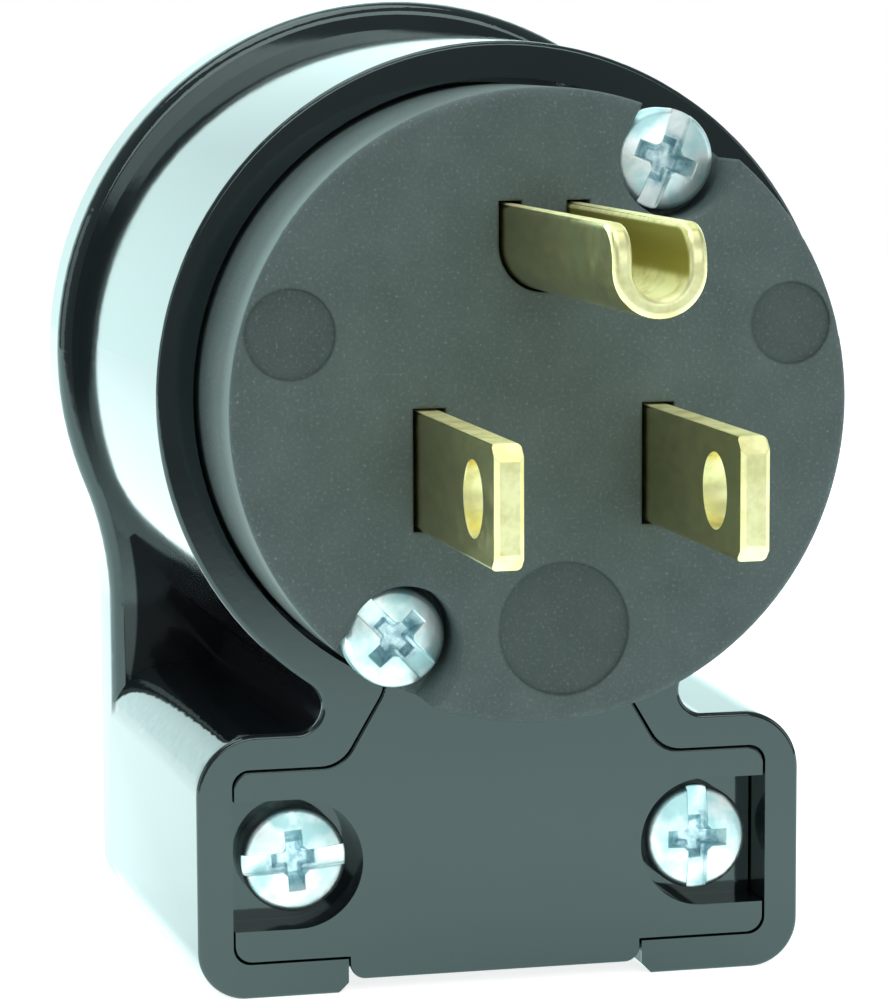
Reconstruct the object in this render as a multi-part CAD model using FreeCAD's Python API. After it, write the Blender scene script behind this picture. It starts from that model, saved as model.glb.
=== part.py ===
import FreeCAD, Part
import math
import os

# Right-angle type B plug that is wired by hand: a round face with three contacts, a black
# housing that turns the cord downwards, and a screwed cord clamp in the block below.
# Frame: millimetres, +Z up, the contacts point along -Y, and the origin is the centre of the
# round face. The plug stands on the flat underside of its clamp block.

# Contact pattern
BLADE_PITCH = 12.7
BLADE_WIDTH = 6.35
BLADE_THICK = 1.52
BLADE_REACH = 16.9
BLADE_DROP = 3.14
BLADE_TIP_CHAMFER = 0.85
BLADE_ROUND = 0.25
BLADE_EDGE = 0.25
BLADE_HOLE_R = 2.0
BLADE_HOLE_FROM_TIP = 4.45
GROUND_RISE = 11.89
GROUND_WIDTH = 4.75
GROUND_WALL = 1.0
GROUND_LEG = 2.25
GROUND_REACH = 21.4
GROUND_TIP_ROUND = 1.9
GROUND_TIP_EDGE = 0.35

# Face insulator
FACE_R = 17.15
FACE_EDGE = 0.55
FACE_WALL = 5.6
SKIRT_WALL = 2.0
NOTCH_FLOOR = 1.4
NOTCH_ROOM = 0.4
NOTCH_EDGE = 0.25
COLUMN_WALL = 1.1
SLOT_GAP = 0.15
MARK_DEPTH = 0.2
MARK_SIDE_INSET = 2.65
MARK_SIDE_HEIGHT = 4.27
MARK_RIGHT_R = 2.25
MARK_LEFT_R = 2.45
MARK_LOW_R = 3.65
MARK_LOW_X = 1.1
MARK_LOW_INSET = 5.15

# Housing
RIM_Y = 9.0
SEAT_DEPTH = 4.0
CHAMBER_DEPTH = 23.4
BACK_WALL = 2.6
BORE_GAP = 0.35
RIM_WALL = 2.03
CUP_DRAFT = 1.2
SEAT_LEDGE = 1.1
BLOCK_HALF = 17.57
BLOCK_DRAFT = 1.6
BLOCK_RISE = 0.78
BLOCK_HEIGHT = 15.0
BLOCK_TOP_CORNER = 3.4
BLOCK_LOW_CORNER = 2.8
BLOCK_CORE_CORNER = 0.8
FOOT_TRIM = 0.02
BLOCK_WALL = 1.9
CROTCH_R = 1.45
RIM_EDGE = 0.25
FLANGE_LIP = 1.77
FLANGE_RISE = 0.45
FLANGE_THICK = 4.9
FLANGE_BLEND_R = 20.0
FLANGE_FRONT_EDGE = 0.8
FLANGE_BACK_EDGE = 1.0

# Assembly screws, each at its own angle and inset on the round face
UPPER_SCREW_INSET = 2.05
UPPER_SCREW_ANGLE = 60.6
LOWER_SCREW_INSET = 2.45
LOWER_SCREW_ANGLE = 238.4
ASSEMBLY_HEAD_R = 2.75
ASSEMBLY_HEAD_HEIGHT = 2.2
ASSEMBLY_SHANK_R = 1.6
ASSEMBLY_GRIP = 7.2
ASSEMBLY_INSERT_WALL = 0.9
ASSEMBLY_BOSS_WALL = 1.5
INSERT_LENGTH = 8.0
SHANK_GAP = 0.4
THREAD_GAP = 0.05
DRILL_PAST_INSERT = 3.0

# Cord clamp
PLATE_THICK = 4.8
PLATE_GAP = 0.1
EAR_SIDE_WALL = 2.09
EAR_END_WALL = 2.05
EAR_CORNER = 1.0
PLATE_NECK_LENGTH = 7.5
PLATE_NECK_HALF = 6.8
PLATE_SHOULDER_HEIGHT = 4.3
PLATE_SHOULDER_HALF = 9.3
PLATE_SHOULDER_R = 2.0
TONGUE_LAP = 0.3
TONGUE_SHIFT = -0.4
TONGUE_RISE = 0.75
TONGUE_CORNER = 0.9
HOOK_CHAMFER = 0.6
PLATE_EDGE = 0.12
CLAMP_SCREW_INSET = 3.65
CLAMP_SCREW_DROP = 5.4
CLAMP_NOTCH_ROOM = 0.7
CLAMP_NOTCH_DEPTH = 2.8
CLAMP_HEAD_R = 3.0
CLAMP_HEAD_HEIGHT = 2.0
CLAMP_SHANK_R = 1.75
CLAMP_GRIP = 10.0
CLAMP_INSERT_WALL = 0.95
CLAMP_BOSS_WALL = 0.8
PASSAGE_HALF = 8.2
PASSAGE_INTO_CHAMBER = 4.9
CORD_R = 4.6
CORD_DEPTH = 7.7
JAW_GAP = 1.4
JAW_RIB = 1.4
JAW_PITCH = 3.6
JAW_COUNT = 3
JAW_SIDE_GAP = 1.6
JAW_RISE = 2.75

# Terminals and the inner carrier
CARRIER_GAP = 0.25
TERMINAL_OUT = 6.4
BEND_R = 0.9
TERMINAL_SCREW_OFFSET = 3.6
TERMINAL_HEAD_R = 2.9
TERMINAL_HEAD_HEIGHT = 1.8
TERMINAL_SHANK_R = 1.75
TERMINAL_SCREW_LENGTH = 7.0
GROUND_SCREW_X = -5.6
GROUND_PAD_HALF = 3.3
PRESSURE_THICK = 1.0
PRESSURE_HALF = 2.9
PRESSURE_CORNER = 0.6
BARRIER_THICK = 1.4
BARRIER_HEIGHT = 5.0
BARRIER_Z = 2.7
BARRIER_END_GAP = 1.3

# Screw head drives
SLOT_WIDTH = 1.15
SLOT_DEPTH = 0.8
CROSS_ARM = 1.9
CROSS_HALF = 0.5
CROSS_BLEND = 0.35
CROSS_FLOOR_ARM = 0.85
CROSS_FLOOR_HALF = 0.3
CROSS_FLOOR_BLEND = 0.1
CROSS_DEPTH = 1.3
HEAD_CROWN = 0.45
HEAD_EDGE = 0.4
UPPER_SLOT_ANGLE = 68.0
LOWER_SLOT_ANGLE = 134.0
LEFT_SLOT_ANGLE = 4.0
RIGHT_SLOT_ANGLE = 90.0

# Depths worked out from the sizes above
SEAT_Y = RIM_Y + SEAT_DEPTH
FLOOR_Y = SEAT_Y + CHAMBER_DEPTH
BACK_Y = FLOOR_Y + BACK_WALL
PLATE_BACK = RIM_Y + PLATE_THICK
CORD_AXIS_Y = PLATE_BACK + CORD_DEPTH

# Round parts
BORE_R = FACE_R + BORE_GAP
RIM_R = BORE_R + RIM_WALL
SEAT_R = BORE_R - SEAT_LEDGE
FLANGE_R = RIM_R + FLANGE_LIP
SKIRT_BORE = FACE_R - SKIRT_WALL
CARRIER_R = SKIRT_BORE - CARRIER_GAP
GROUND_Z = GROUND_RISE - BLADE_DROP

# Assembly screws and their seats
NOTCH_R = ASSEMBLY_HEAD_R + NOTCH_ROOM
NOTCH_DEPTH = FACE_WALL - NOTCH_FLOOR
COLUMN_R = ASSEMBLY_SHANK_R + SHANK_GAP + COLUMN_WALL
ASSEMBLY_INSERT_R = ASSEMBLY_SHANK_R + ASSEMBLY_INSERT_WALL
ASSEMBLY_BOSS_R = ASSEMBLY_INSERT_R + ASSEMBLY_BOSS_WALL
ASSEMBLY_SCREW_LENGTH = SEAT_Y - NOTCH_DEPTH + ASSEMBLY_GRIP
BOSS_DRILL_DEPTH = INSERT_LENGTH + DRILL_PAST_INSERT

# Clamp block and plate
BLOCK_TOP = BLOCK_RISE - RIM_R
BLOCK_BOTTOM = BLOCK_TOP - BLOCK_HEIGHT
EAR_HALF = BLOCK_HALF - EAR_SIDE_WALL
EAR_TOP = BLOCK_TOP - EAR_END_WALL
EAR_BOTTOM = BLOCK_BOTTOM + EAR_END_WALL
PLATE_NECK_Z = EAR_TOP + PLATE_SHOULDER_HEIGHT
PLATE_TOP = PLATE_NECK_Z + PLATE_NECK_LENGTH
TONGUE_HALF = PASSAGE_HALF + TONGUE_LAP
TONGUE_BOTTOM = BLOCK_BOTTOM + TONGUE_RISE
PASSAGE_TOP = PASSAGE_INTO_CHAMBER - SEAT_R
CLAMP_SCREW_X = EAR_HALF - CLAMP_SCREW_INSET
CLAMP_SCREW_Z = EAR_TOP - CLAMP_SCREW_DROP
CLAMP_NOTCH_R = CLAMP_HEAD_R + CLAMP_NOTCH_ROOM
CLAMP_INSERT_R = CLAMP_SHANK_R + CLAMP_INSERT_WALL
CLAMP_BOSS_R = CLAMP_INSERT_R + CLAMP_BOSS_WALL
CLAMP_SCREW_LENGTH = PLATE_THICK - CLAMP_NOTCH_DEPTH + CLAMP_GRIP
JAW_HALF = PASSAGE_HALF - JAW_SIDE_GAP
JAW_LOW_Z = BLOCK_BOTTOM + JAW_RISE

PAST = 1.0
TOUCH = 1e-5


def vec(x, y, z):
    return FreeCAD.Vector(x, y, z)


def polar(radius, angle):
    return (radius * math.cos(math.radians(angle)), radius * math.sin(math.radians(angle)))


def rod(radius, y0, y1, x=0.0, z=0.0):
    """A round bar along Y."""
    return Part.makeCylinder(radius, y1 - y0, vec(x, y0, z), vec(0, 1, 0))


def block(x0, x1, y0, y1, z0, z1):
    return Part.makeBox(x1 - x0, y1 - y0, z1 - z0, vec(x0, y0, z0))


def line(a, b, y):
    return Part.makeLine(vec(a[0], y, a[1]), vec(b[0], y, b[1]))


def arc(a, m, b, y):
    return Part.Arc(vec(a[0], y, a[1]), vec(m[0], y, m[1]), vec(b[0], y, b[1])).toShape()


def mirror_points(points):
    return [(-x, z, r) for x, z, r in reversed(points)]


def rounded_wire(corners, y):
    """Closed outline in the XZ plane at depth y. Each corner is (x, z, radius)."""
    count = len(corners)
    spans = []
    for i in range(count):
        x, z, radius = corners[i]
        before = corners[i - 1]
        after = corners[(i + 1) % count]
        if radius <= 0:
            spans.append(((x, z), None, (x, z)))
            continue
        a = vec(before[0] - x, 0, before[1] - z).normalize()
        b = vec(after[0] - x, 0, after[1] - z).normalize()
        middle = (a + b).normalize()
        half = a.getAngle(b) / 2
        reach = radius / math.tan(half)
        depth = radius / math.sin(half) - radius
        start = (x + a.x * reach, z + a.z * reach)
        end = (x + b.x * reach, z + b.z * reach)
        top = (x + middle.x * depth, z + middle.z * depth)
        spans.append((start, top, end))
    edges = []
    for i in range(count):
        start, top, end = spans[i]
        if top is not None:
            edges.append(arc(start, top, end, y))
        edges.append(line(end, spans[(i + 1) % count][0], y))
    return Part.Wire(edges)


def prism(wire, depth):
    return Part.Face(wire).extrude(vec(0, depth, 0))


def edges_at(shape, y):
    """The edges that lie wholly in the plane at depth y."""
    found = []
    for edge in shape.Edges:
        box = edge.BoundBox
        if max(abs(box.YMin - y), abs(box.YMax - y)) < TOUCH:
            found.append(edge)
    return found


def cup_radius(y):
    return RIM_R + (y - RIM_Y) * math.tan(math.radians(CUP_DRAFT))


def block_half(y):
    return BLOCK_HALF + (y - RIM_Y) * math.tan(math.radians(BLOCK_DRAFT))


def housing_outline(y, radius, blend, rise, side_blend):
    """Round cup over a clamp block, with a concave blend where the two meet.

    The round stands higher than the face by rise. With side_blend the blend runs down
    to the block's side, and otherwise to its top."""
    half = block_half(y)
    reach = radius + blend
    if side_blend:
        cx = half + blend
        cz = rise - math.sqrt(reach ** 2 - cx ** 2)
        leave = (half, cz)
        toward = vec(-1, 0, 0)
    else:
        cz = BLOCK_TOP + blend
        cx = math.sqrt(reach ** 2 - (cz - rise) ** 2)
        leave = (cx, BLOCK_TOP)
        toward = vec(0, 0, -1)
    inward = vec(-cx, 0, rise - cz).normalize()
    middle = (inward + toward).normalize()
    touch = (cx + inward.x * blend, cz + inward.z * blend)
    top = (cx + middle.x * blend, cz + middle.z * blend)

    def flip(p):
        return (-p[0], p[1])

    low = BLOCK_LOW_CORNER
    foot = BLOCK_BOTTOM - FOOT_TRIM
    k = 1 - math.sqrt(0.5)
    right = [arc(touch, top, leave, y)]
    if side_blend:
        side_start = leave
    else:
        r = BLOCK_TOP_CORNER
        corner = (half - r, BLOCK_TOP)
        side_start = (half, BLOCK_TOP - r)
        right.append(line(leave, corner, y))
        right.append(arc(corner, (half - r * k, BLOCK_TOP - r * k), side_start, y))
    side_end = (half, foot + low)
    turn = (half - low * k, foot + low * k)
    foot_end = (half - low, foot)
    right.append(line(side_start, side_end, y))
    right.append(arc(side_end, turn, foot_end, y))
    left = [arc(flip(foot_end), flip(turn), flip(side_end), y)]
    left.append(line(flip(side_end), flip(side_start), y))
    if not side_blend:
        left.append(arc(flip(side_start), flip((half - r * k, BLOCK_TOP - r * k)), flip(corner), y))
        left.append(line(flip(corner), flip(leave), y))
    left.append(arc(flip(leave), flip(top), flip(touch), y))
    bottom = [line(foot_end, flip(foot_end), y)]
    crown = [arc(flip(touch), (0, rise + radius), touch, y)]
    return Part.Wire(crown + right + bottom + left)


def plate_outline(y, grow, through_bottom):
    """Front view of the cord clamp plate, grown by a gap for its pocket in the housing."""
    shoulder = PLATE_SHOULDER_HALF + grow
    ear = EAR_HALF + grow
    tongue = TONGUE_HALF + grow
    upper = [
        (PLATE_NECK_HALF + grow, PLATE_TOP, 0),
        (PLATE_NECK_HALF + grow, PLATE_NECK_Z, PLATE_SHOULDER_R),
        (shoulder, EAR_TOP + grow, PLATE_SHOULDER_R),
        (ear, EAR_TOP + grow, EAR_CORNER),
        (ear, EAR_BOTTOM - grow, EAR_CORNER),
    ]
    right = TONGUE_SHIFT + tongue
    left = TONGUE_SHIFT - tongue
    if through_bottom:
        start = BLOCK_BOTTOM + HOOK_CHAMFER
        wide = HOOK_CHAMFER + PAST
        end = [(right, start, 0), (right + wide, BLOCK_BOTTOM - PAST, 0),
               (left - wide, BLOCK_BOTTOM - PAST, 0), (left, start, 0)]
    else:
        end = [(right, TONGUE_BOTTOM, TONGUE_CORNER), (left, TONGUE_BOTTOM, TONGUE_CORNER)]
    lower = [(right, EAR_BOTTOM - grow, 0)] + end + [(left, EAR_BOTTOM - grow, 0)]
    return rounded_wire(upper + lower + mirror_points(upper), y)


def cross_outline(arm, half, blend, y):
    """Four-armed outline of a cross recess, with its inner corners cut off."""
    inner = half + blend
    quarter = [(arm, -half), (arm, half), (inner, half), (half, inner)]
    points = []
    for turn in range(4):
        for x, z in quarter:
            for _ in range(turn):
                x, z = -z, x
            points.append(vec(x, y, z))
    return Part.makePolygon(points + points[:1])


def screw(head_r, head_height, shank_r, length, slot_angle):
    """Pan head screw standing along +Y from its seat at y = 0, with its head at -Y."""
    dome_r = (head_r ** 2 + HEAD_CROWN ** 2) / (2 * HEAD_CROWN)
    dome = Part.makeSphere(dome_r, vec(0, dome_r - head_height, 0))
    head = rod(head_r, -head_height, 0).common(dome)
    head = head.makeFillet(HEAD_EDGE, edges_at(head, HEAD_CROWN - head_height))
    top = -head_height
    half = SLOT_WIDTH / 2
    slot = block(-head_r - PAST, head_r + PAST, top - PAST, top + SLOT_DEPTH, -half, half)
    cross = Part.makeLoft([cross_outline(CROSS_ARM, CROSS_HALF, CROSS_BLEND, top),
                           cross_outline(CROSS_FLOOR_ARM, CROSS_FLOOR_HALF, CROSS_FLOOR_BLEND,
                                         top + CROSS_DEPTH)], True, True)
    head = head.cut(slot.fuse(cross))
    head.rotate(vec(0, 0, 0), vec(0, 1, 0), -slot_angle)
    shank = rod(shank_r, 0, length)
    return head.fuse(shank).removeSplitter()


def placed(shape, x, y, z):
    shape.translate(vec(x, y, z))
    return shape


def assembly_points():
    return {"upper": polar(FACE_R - UPPER_SCREW_INSET, UPPER_SCREW_ANGLE),
            "lower": polar(FACE_R - LOWER_SCREW_INSET, LOWER_SCREW_ANGLE)}


def make_housing():
    body = Part.makeLoft([housing_outline(RIM_Y, RIM_R, CROTCH_R, 0, False),
                          housing_outline(FLOOR_Y, cup_radius(FLOOR_Y), CROTCH_R, 0, False)],
                         True, True)
    body = body.makeFillet(RIM_EDGE, edges_at(body, RIM_Y))
    flange_y = BACK_Y - FLANGE_THICK
    flange = Part.makeLoft([housing_outline(flange_y, FLANGE_R, FLANGE_BLEND_R, FLANGE_RISE, True),
                            housing_outline(BACK_Y, FLANGE_R, FLANGE_BLEND_R, FLANGE_RISE, True)],
                           True, True)
    flange = flange.makeFillet(FLANGE_FRONT_EDGE, edges_at(flange, flange_y))
    flange = flange.makeFillet(FLANGE_BACK_EDGE, edges_at(flange, BACK_Y))
    reach = 2 * FLANGE_R
    below = block(-reach, reach, RIM_Y - PAST, BACK_Y + PAST, BLOCK_BOTTOM - reach, BLOCK_BOTTOM)
    shell = body.fuse(flange).cut(below)

    # Round chamber, its seat for the face, and the passage of the cord
    inside = rod(BORE_R, RIM_Y - PAST, SEAT_Y).fuse(rod(SEAT_R, SEAT_Y, FLOOR_Y))
    passage = block(-PASSAGE_HALF, PASSAGE_HALF, PLATE_BACK - PAST, FLOOR_Y,
                    BLOCK_BOTTOM - PAST, PASSAGE_TOP)
    shell = shell.cut(inside.fuse(passage))

    # Cored sides of the block, then the bosses that stand in them
    boss_end = FLOOR_Y + BACK_WALL / 2
    inner = PASSAGE_HALF + BLOCK_WALL
    round_off = BLOCK_CORE_CORNER
    for side in (-1, 1):
        corners = [(side * inner, EAR_TOP, round_off), (side * EAR_HALF, EAR_TOP, round_off),
                   (side * EAR_HALF, EAR_BOTTOM, round_off), (side * inner, EAR_BOTTOM, round_off)]
        shell = shell.cut(prism(rounded_wire(corners, PLATE_BACK), FLOOR_Y - PLATE_BACK))
        shell = shell.fuse(rod(CLAMP_BOSS_R, PLATE_BACK, boss_end, side * CLAMP_SCREW_X, CLAMP_SCREW_Z))
    for x, z in assembly_points().values():
        boss = rod(ASSEMBLY_BOSS_R, SEAT_Y, boss_end, x, z)
        shell = shell.fuse(boss.common(rod(cup_radius(SEAT_Y) - RIM_EDGE, SEAT_Y, BACK_Y)))
    shell = shell.fuse(jaw_ribs(boss_end, CORD_AXIS_Y + JAW_GAP))

    # Pocket of the clamp plate, which also passes the foot of the lower boss
    shell = shell.cut(prism(plate_outline(RIM_Y - PAST, PLATE_GAP, True), PLATE_THICK + PAST))

    # Holes for the pressed-in inserts, drilled deeper for the screw ends
    for x, z in assembly_points().values():
        pressed = rod(ASSEMBLY_INSERT_R, SEAT_Y - PAST, SEAT_Y + INSERT_LENGTH, x, z)
        drilled = rod(ASSEMBLY_SHANK_R + SHANK_GAP, SEAT_Y, SEAT_Y + BOSS_DRILL_DEPTH, x, z)
        shell = shell.cut(pressed.fuse(drilled))
    for x in (-CLAMP_SCREW_X, CLAMP_SCREW_X):
        pressed = rod(CLAMP_INSERT_R, PLATE_BACK - PAST, PLATE_BACK + INSERT_LENGTH, x, CLAMP_SCREW_Z)
        drilled = rod(CLAMP_SHANK_R + SHANK_GAP, PLATE_BACK, PLATE_BACK + BOSS_DRILL_DEPTH,
                      x, CLAMP_SCREW_Z)
        shell = shell.cut(pressed.fuse(drilled))
    return shell.removeSplitter()


def jaw_ribs(wall_y, edge_y):
    """Ribs that stand from a wall to the cord and are hollowed to its round."""
    y0 = min(wall_y, edge_y)
    y1 = max(wall_y, edge_y)
    ribs = []
    for i in range(JAW_COUNT):
        z = JAW_LOW_Z + i * JAW_PITCH
        ribs.append(block(-JAW_HALF, JAW_HALF, y0, y1, z, z + JAW_RIB))
    span = JAW_PITCH * JAW_COUNT
    bore = Part.makeCylinder(CORD_R, span, vec(0, CORD_AXIS_Y, JAW_LOW_Z - PAST), vec(0, 0, 1))
    return ribs[0].fuse(ribs[1:]).cut(bore)


def notch_outline(x, z, radius, y):
    """Round-ended notch that opens from a screw's axis outwards past the rim."""
    away = math.hypot(x, z)
    out_x = x / away
    out_z = z / away

    def at(along, across):
        return (x + along * out_x - across * out_z, z + along * out_z + across * out_x)

    return Part.Wire([
        arc(at(0, radius), at(-radius, 0), at(0, -radius), y),
        line(at(0, -radius), at(FACE_R, -radius), y),
        line(at(FACE_R, -radius), at(FACE_R, radius), y),
        line(at(FACE_R, radius), at(0, radius), y),
    ])


def make_face():
    face = rod(FACE_R, 0, SEAT_Y)
    face = face.makeFillet(FACE_EDGE, edges_at(face, 0))
    face = face.cut(rod(SKIRT_BORE, FACE_WALL, SEAT_Y + PAST))
    for x, z in assembly_points().values():
        column = rod(COLUMN_R, FACE_WALL - PAST, SEAT_Y, x, z)
        face = face.fuse(column.common(rod(FACE_R, 0, SEAT_Y)))
        notch = prism(notch_outline(x, z, NOTCH_R, -PAST), NOTCH_DEPTH + PAST)
        edge = Part.makeLoft([notch_outline(x, z, NOTCH_R + 2 * NOTCH_EDGE, -NOTCH_EDGE),
                              notch_outline(x, z, NOTCH_R, NOTCH_EDGE)], True, True)
        face = face.cut([notch, edge, rod(ASSEMBLY_SHANK_R + SHANK_GAP, 0, SEAT_Y + PAST, x, z)])
    for side in (-1, 1):
        face = face.cut(blade_slot(side, -PAST, FACE_WALL + PAST))
    face = face.cut(ground_section(-PAST, FACE_WALL + PAST, SLOT_GAP))
    across = math.sqrt((FACE_R - MARK_SIDE_INSET) ** 2 - MARK_SIDE_HEIGHT ** 2)
    face = face.cut(rod(MARK_RIGHT_R, -PAST, MARK_DEPTH, across, MARK_SIDE_HEIGHT))
    face = face.cut(rod(MARK_LEFT_R, -PAST, MARK_DEPTH, -across, MARK_SIDE_HEIGHT))
    face = face.cut(rod(MARK_LOW_R, -PAST, MARK_DEPTH, MARK_LOW_X, MARK_LOW_INSET - FACE_R))
    return face.removeSplitter()


def blade_slot(side, y0, y1):
    half_t = BLADE_THICK / 2 + SLOT_GAP
    half_w = BLADE_WIDTH / 2 + SLOT_GAP
    x = side * BLADE_PITCH / 2
    return block(x - half_t, x + half_t, y0, y1, -BLADE_DROP - half_w, -BLADE_DROP + half_w)


def ground_bar(y0, y1, r, top):
    """Bar with the ground pin's outline: round below, with straight sides up to top."""
    below = rod(r, y0, y1, 0, GROUND_Z).common(block(-r, r, y0, y1, GROUND_Z - r, GROUND_Z))
    return below.fuse(block(-r, r, y0, y1, GROUND_Z, top)).removeSplitter()


def ground_section(y0, y1, gap):
    """The folded strip of the ground pin, grown by a gap on all its sides."""
    top = GROUND_Z + GROUND_LEG + gap
    outside = ground_bar(y0, y1, GROUND_WIDTH / 2 + gap, top)
    return outside.cut(ground_bar(y0, y1, GROUND_WIDTH / 2 - GROUND_WALL - gap, top))


def make_carrier():
    carrier = rod(CARRIER_R, FACE_WALL, SEAT_Y)
    for x, z in assembly_points().values():
        carrier = carrier.cut(rod(COLUMN_R + CARRIER_GAP, FACE_WALL - PAST, SEAT_Y + PAST, x, z))
    wall = BARRIER_THICK / 2
    top = SEAT_Y + BARRIER_HEIGHT
    reach = CARRIER_R - BARRIER_END_GAP
    across = block(-reach, reach, SEAT_Y, top, BARRIER_Z - wall, BARRIER_Z + wall)
    down = block(-wall, wall, SEAT_Y, top, -reach, BARRIER_Z)
    carrier = carrier.fuse([across, down])
    screw_room = TERMINAL_SHANK_R + SHANK_GAP
    for side in (-1, 1):
        carrier = carrier.cut(blade_slot(side, FACE_WALL - PAST, SEAT_Y + PAST))
        x = side * (BLADE_PITCH / 2 + TERMINAL_SCREW_OFFSET)
        relief = block(0, BEND_R + BLADE_THICK, SEAT_Y - BEND_R - BLADE_THICK, SEAT_Y + PAST,
                       -BLADE_WIDTH / 2 - SLOT_GAP, BLADE_WIDTH / 2 + SLOT_GAP)
        if side < 0:
            relief = relief.mirror(vec(0, 0, 0), vec(1, 0, 0))
        relief.translate(vec(side * (BLADE_PITCH / 2 - BLADE_THICK / 2), 0, -BLADE_DROP))
        carrier = carrier.cut(relief)
        carrier = carrier.cut(rod(screw_room, FACE_WALL, SEAT_Y + PAST, x, -BLADE_DROP))
    carrier = carrier.cut(ground_section(FACE_WALL - PAST, SEAT_Y + PAST, SLOT_GAP))
    carrier = carrier.cut(rod(screw_room, FACE_WALL, SEAT_Y + PAST, GROUND_SCREW_X, GROUND_Z))
    return carrier.removeSplitter()


def wedge(p, q, r, sweep):
    """Three-cornered bar that takes off an edge."""
    return Part.Face(Part.makePolygon([p, q, r, p])).extrude(sweep)


def tip_cutters(x):
    """Bars that cut a blade's two tip corners and break the long edges of its end."""
    tip = -BLADE_REACH
    low = -BLADE_DROP - BLADE_WIDTH / 2
    cutters = []
    for z, inward in ((low, 1), (low + BLADE_WIDTH, -1)):
        near = x - BLADE_THICK
        cutters.append(wedge(vec(near, tip, z), vec(near, tip + BLADE_TIP_CHAMFER, z),
                             vec(near, tip, z + inward * BLADE_TIP_CHAMFER),
                             vec(2 * BLADE_THICK, 0, 0)))
    for side in (-1, 1):
        flat = x + side * BLADE_THICK / 2
        cutters.append(wedge(vec(flat, tip, low), vec(flat, tip + BLADE_EDGE, low),
                             vec(flat - side * BLADE_EDGE, tip, low), vec(0, 0, BLADE_WIDTH)))
    return cutters


def make_blade(side):
    """Flat blade whose inner end is bent outwards into a terminal pad."""
    x = side * BLADE_PITCH / 2
    half_t = BLADE_THICK / 2
    inner = x - side * half_t
    outer = x + side * half_t
    pad_front = SEAT_Y
    pad_back = SEAT_Y + BLADE_THICK
    bend_out = BEND_R + BLADE_THICK
    end = outer + side * TERMINAL_OUT
    z = -BLADE_DROP - BLADE_WIDTH / 2

    def at(px, py):
        return vec(px, py, z)

    bend_x = outer + side * BEND_R
    bend_y = pad_front - BEND_R
    k = math.sqrt(0.5)
    outline = Part.Wire([
        Part.makeLine(at(inner, -BLADE_REACH), at(inner, bend_y)),
        Part.Arc(at(inner, bend_y), at(bend_x - side * bend_out * k, bend_y + bend_out * k),
                 at(bend_x, pad_back)).toShape(),
        Part.makeLine(at(bend_x, pad_back), at(end, pad_back)),
        Part.makeLine(at(end, pad_back), at(end, pad_front)),
        Part.makeLine(at(end, pad_front), at(bend_x, pad_front)),
        Part.Arc(at(bend_x, pad_front), at(bend_x - side * BEND_R * k, bend_y + BEND_R * k),
                 at(outer, bend_y)).toShape(),
        Part.makeLine(at(outer, bend_y), at(outer, -BLADE_REACH)),
        Part.makeLine(at(outer, -BLADE_REACH), at(inner, -BLADE_REACH)),
    ])
    blade = Part.Face(outline).extrude(vec(0, 0, BLADE_WIDTH))
    long_edges = []
    for edge in blade.Edges:
        box = edge.BoundBox
        if box.ZMax - box.ZMin < TOUCH and box.YMax + BLADE_REACH > TOUCH:
            long_edges.append(edge)
    blade = blade.makeFillet(BLADE_ROUND, long_edges)
    hole_at = vec(x - BLADE_THICK, BLADE_HOLE_FROM_TIP - BLADE_REACH, -BLADE_DROP)
    hole = Part.makeCylinder(BLADE_HOLE_R, 2 * BLADE_THICK, hole_at, vec(1, 0, 0))
    tapped = rod(TERMINAL_SHANK_R + THREAD_GAP, pad_front - PAST, pad_back + PAST,
                 side * (BLADE_PITCH / 2 + TERMINAL_SCREW_OFFSET), -BLADE_DROP)
    return blade.cut(tip_cutters(x) + [hole, tapped]).removeSplitter()


def tip_corner(top):
    """What the round upper corner of the ground pin's tip takes off."""
    mid_y = GROUND_TIP_ROUND - GROUND_REACH
    mid_z = top - GROUND_TIP_ROUND
    corner = block(-GROUND_WIDTH, GROUND_WIDTH, -GROUND_REACH - PAST, mid_y, mid_z, top + PAST)
    return corner.cut(Part.makeCylinder(GROUND_TIP_ROUND, 3 * GROUND_WIDTH,
                                        vec(-1.5 * GROUND_WIDTH, mid_y, mid_z), vec(1, 0, 0)))


def make_ground_pin():
    """U-shaped pin, open above, with a pad at its inner end for the terminal screw."""
    pin = ground_section(-GROUND_REACH, SEAT_Y, 0)
    top = GROUND_Z + GROUND_LEG
    pin = pin.cut(tip_corner(top)).removeSplitter()
    pin = pin.makeFillet(GROUND_TIP_EDGE, edges_at(pin, -GROUND_REACH))
    pad = block(GROUND_SCREW_X - GROUND_PAD_HALF, GROUND_WIDTH / 2, SEAT_Y, SEAT_Y + BLADE_THICK,
                GROUND_Z - GROUND_PAD_HALF, GROUND_Z + GROUND_PAD_HALF)
    tapped = rod(TERMINAL_SHANK_R + THREAD_GAP, SEAT_Y - PAST, SEAT_Y + BLADE_THICK + PAST,
                 GROUND_SCREW_X, GROUND_Z)
    return pin.fuse(pad).cut(tapped).removeSplitter()


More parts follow.
